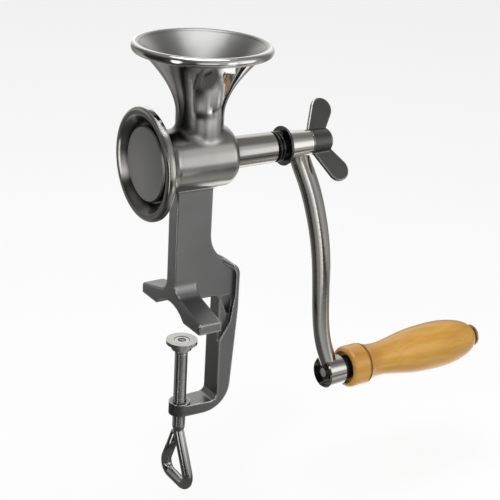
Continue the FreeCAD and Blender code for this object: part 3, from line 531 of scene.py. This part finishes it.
def loop_points():
    """The rod's bent end: down, across and back up to a gap below the thread."""
    corners = ((0, loop_top_z + loop_start_rise, 0),
               (0, loop_top_z - loop_bend_drop, loop_neck_round),
               (-loop_half_width, loop_bottom_z, loop_corner_round),
               (loop_half_width, loop_bottom_z, loop_corner_round),
               (loop_rod_radius * loop_end_share, loop_top_z - loop_end_gap, 0))
    return tube(rounded_line([((screw_x, y, z), radius) for y, z, radius in corners]),
                loop_rod_radius)


rod_points, rod_faces = clamp_screw_points()
bent_points, bent_faces = loop_points()
shift = len(rod_points)
make_piece("threaded_clamp_screw", rod_points + bent_points,
           rod_faces + [tuple(index + shift for index in face) for face in bent_faces],
           "clamp_screw", "screw_steel", "clamp_screw")

# ---- Spring: round wire, wound between the sleeve and the washer ----------------------------

coil_steps = 180
spring_low, spring_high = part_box("pressure_spring")
first_x = spring_low[0] / MM + spring_wire / 2
coil_length = (spring_high[0] - spring_low[0]) / MM - spring_wire
coil_line = []
for step in range(coil_steps + 1):
    share = step / coil_steps
    angle = 2 * math.pi * spring_turns * share
    coil_line.append((first_x + coil_length * share, spring_radius * math.cos(angle),
                      shaft_height + spring_radius * math.sin(angle)))
coil_points, coil_faces = tube(coil_line, spring_wire / 2)
spring = make_piece("wound_spring", coil_points, coil_faces, None, "spring_steel",
                    "pressure_spring")
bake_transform(spring)

# ---- Camera ---------------------------------------------------------------------------------

view_target = Vector((0.03922, 0, 0.03088))
view_distance = 0.76258
azimuth, elevation, roll = (math.radians(angle) for angle in (-33.61, 21.77, 3.41))
back = Vector((math.sin(azimuth) * math.cos(elevation), -math.cos(azimuth) * math.cos(elevation),
               math.sin(elevation)))
level = Vector((0, 0, 1)).cross(back).normalized()
upright = back.cross(level)
right = level * math.cos(roll) + upright * math.sin(roll)
up = upright * math.cos(roll) - level * math.sin(roll)
camera_data = bpy.data.cameras.new("camera")
camera_data.sensor_width = 36.0
camera_data.lens = 90.86
camera_data.clip_start = 0.01
camera = bpy.data.objects.new("camera", camera_data)
camera.matrix_world = Matrix.LocRotScale(
    view_target + back * view_distance,
    Matrix((right, up, back)).transposed().to_quaternion(), None)
bpy.context.collection.objects.link(camera)
bpy.context.scene.camera = camera

# ---- Floor, reflections, sky and lamps, in metres -------------------------------------------

screw_drop = 0.03125          # how far the clamp screw can be let down
floor_gap = 0.0015            # from the loop, let down, to the floor
floor_size = 14.0
floor_glow = 0.72             # how much of its even brightness the floor shows when looked at
tent_lift = 0.0018            # from the object's lowest point at rest up to the tent's ground
tent_columns = 360
sky_light = 0.55              # what the sky gives the object
sky_seen = 0.85               # what the sky shows, as pale as the floor's far end


def looked_at(tree):
    """An output that is 1 for rays that look at a thing or mirror it, 0 for those that light."""
    path = tree.nodes.new("ShaderNodeLightPath")
    seen = path.outputs["Is Camera Ray"]
    for rays in ("Is Glossy Ray", "Is Transmission Ray"):
        either = tree.nodes.new("ShaderNodeMath")
        either.operation = "MAXIMUM"
        tree.links.new(seen, either.inputs[0])
        tree.links.new(path.outputs[rays], either.inputs[1])
        seen = either.outputs[0]
    return seen


def stage_mesh(name, points, faces, material):
    """A new mesh object for the studio, linked into the scene."""
    mesh = bpy.data.meshes.new(name)
    mesh.from_pydata(points, [], faces)
    mesh.materials.append(material)
    staged = bpy.data.objects.new(name, mesh)
    bpy.context.collection.objects.link(staged)
    return staged


def stage_floor():
    """Pale floor: near white where it is looked at or mirrored, with the object's shadow."""
    n = Nodes("pale_floor")
    n.look("Base Color", (0.86, 0.86, 0.87, 1))
    n.look("Roughness", 0.8)
    mixed = n.add("MixShader")
    n.put(mixed.inputs[0], n.math("MULTIPLY", looked_at(n.tree), floor_glow))
    n.put(mixed.inputs[1], n.shader.outputs[0])
    n.put(mixed.inputs[2], n.add("Emission", Color=(1, 1, 1, 1), Strength=1.0).outputs[0])
    n.emit(mixed.outputs[0])
    half = floor_size / 2
    height = cad_box[0][2] - screw_drop - floor_gap
    stage_mesh("floor", [(-half, -half, height), (half, -half, height),
                         (half, half, height), (-half, half, height)], [(0, 1, 2, 3)],
               n.material)


# A studio tent that only reflections see: its panels' brightness at angles in degrees, round
# from the camera and positive to the right, from under the object out and up the walls
tent_middle = Vector((0.03, 0.0, cad_box[0][2] + tent_lift))
tent_under = ((-180, 0.15), (180, 0.15))
tent_near = ((-180, 0.4), (-140, 0.35), (-100, 0.1), (-40, 0.03), (-8, 0.03), (10, 0.2),
             (45, 0.7), (85, 0.8), (100, 0.4), (112, 0.5), (130, 2.2), (160, 2.0), (180, 0.5))
tent_far = ((-180, 0.45), (-140, 0.4), (-100, 0.15), (-45, 0.1), (-18, 0.3), (-8, 0.58),
            (18, 0.58), (28, 0.4), (37, 0.9), (44, 0.9), (52, 0.45), (88, 0.45), (94, 1.3),
            (100, 1.3), (106, 0.35), (130, 1.9), (160, 1.8), (180, 0.5))
tent_outer = ((-180, 0.45), (-140, 0.4), (-110, 0.3), (-60, 0.05), (-20, 0.1), (10, 0.2),
              (30, 0.3), (40, 1.4), (50, 2.4), (56, 2.4), (61, 0.1), (75, 0.05), (100, 0.3),
              (118, 0.35), (135, 1.5), (160, 1.5), (180, 0.5))
tent_low = ((-180, 0.35), (-140, 0.2), (-118, 0.75), (-104, 0.75), (-92, 0.05), (-60, 0.03),
            (-48, 0.1), (-44, 3.0), (-38, 3.0), (-34, 0.05), (-12, 0.03), (5, 0.05), (30, 0.12),
            (45, 0.4), (55, 0.7), (62, 0.5), (72, 0.4), (80, 0.7), (92, 0.7), (98, 0.5),
            (111, 0.6), (130, 0.3), (164, 0.3), (180, 0.35))
tent_band = ((-180, 1.2), (-158, 1.4), (-135, 0.3), (-115, 0.45), (-100, 0.45), (-90, 0.05),
             (-60, 0.03), (-46, 0.1), (-41, 3.0), (-33, 3.0), (-28, 0.2), (-10, 0.1), (0, 1.2),
             (20, 1.4), (28, 0.7), (36, 0.7), (40, 2.6), (50, 2.6), (54, 1.3), (66, 2.2),
             (84, 2.1), (92, 0.6), (110, 0.3), (130, 0.3), (158, 0.9), (180, 1.2))
tent_top = ((-180, 1.8), (-160, 1.8), (-125, 0.2), (-60, 0.05), (-20, 0.1), (0, 0.3), (30, 0.7),
            (52, 1.0), (62, 1.3), (72, 1.3), (86, 0.7), (108, 0.25), (130, 0.35), (160, 1.5),
            (180, 1.8))
tent_sky = ((-180, 0.4), (180, 0.4))
# The tent's rings of points: radius, height above its ground, and levels
tent_rings = ((0.002, 0.0, tent_under), (0.06, 0.0, tent_under), (0.10, 0.0, tent_near),
              (0.22, 0.0, tent_far), (0.34, 0.0, tent_outer), (0.42, 0.0, tent_low),
              (0.42, 0.09, tent_low), (0.42, 0.16, tent_band), (0.42, 0.30, tent_band),
              (0.42, 0.42, tent_top), (0.42, 0.52, tent_top), (0.42, 0.70, tent_sky),
              (0.30, 0.85, tent_sky))


def level_at(levels, degrees):
    """The brightness at an angle, in straight lines between the listed ones."""
    for (start, low), (end, high) in zip(levels, levels[1:]):
        if start <= degrees <= end:
            return low + (high - low) * (degrees - start) / (end - start)
    return levels[-1][1]


def stage_tent():
    """An open tent of soft panels round the object, seen by reflections alone."""
    points = []
    brightness = []
    for radius, height, levels in tent_rings:
        for column in range(tent_columns):
            degrees = 360 * column / tent_columns - 180
            angle = azimuth - math.pi / 2 + math.radians(degrees)
            points.append(tent_middle + Vector((radius * math.cos(angle),
                                                radius * math.sin(angle), height)))
            brightness.append(level_at(levels, degrees))
    n = Nodes("tent_panels")
    drawn = n.add("Attribute")
    drawn.attribute_name = "level"
    n.emit(n.add("Emission", Color=(1.0, 0.99, 0.97, 1), Strength=drawn.outputs["Fac"]).outputs[0])
    tent = stage_mesh("tent", points, ring_faces(len(tent_rings), tent_columns), n.material)
    attribute = tent.data.attributes.new("level", "FLOAT", "POINT")
    attribute.data.foreach_set("value", brightness)
    for rays in ("camera", "diffuse", "transmission", "volume_scatter", "shadow"):
        setattr(tent, "visible_" + rays, False)


def studio_sky():
    """A white sky: dim as light, pale where it is looked at or mirrored."""
    world = bpy.data.worlds.new("studio")
    bpy.context.scene.world = world
    world.use_nodes = True
    tree = world.node_tree
    background = tree.nodes["Background"]
    background.inputs["Color"].default_value = (1, 1, 1, 1)
    strength = tree.nodes.new("ShaderNodeMapRange")
    strength.inputs["To Min"].default_value = sky_light
    strength.inputs["To Max"].default_value = sky_seen
    tree.links.new(looked_at(tree), strength.inputs["Value"])
    tree.links.new(strength.outputs["Result"], background.inputs["Strength"])


def softbox(name, place, width, height, power, mirrored):
    """A flat lamp that faces the object; mirrors can be kept from seeing it."""
    lamp = bpy.data.lights.new(name, "AREA")
    lamp.shape = "RECTANGLE"
    lamp.size = width
    lamp.size_y = height
    lamp.energy = power
    box = bpy.data.objects.new(name, lamp)
    box.location = place
    box.rotation_euler = (Vector(place) - view_target).to_track_quat("Z", "Y").to_euler()
    box.visible_glossy = mirrored
    bpy.context.collection.objects.link(box)


stage_floor()
stage_tent()
studio_sky()
softbox("top", (-0.1, 0.0, 1.2), width=1.0, height=1.0, power=9.0, mirrored=True)
softbox("left", (-0.95, -0.75, 0.60), width=0.35, height=0.9, power=5.0, mirrored=False)
softbox("right", (0.80, -0.95, 0.50), width=0.30, height=0.9, power=3.5, mirrored=False)

bpy.context.scene.view_settings.view_transform = "Standard"
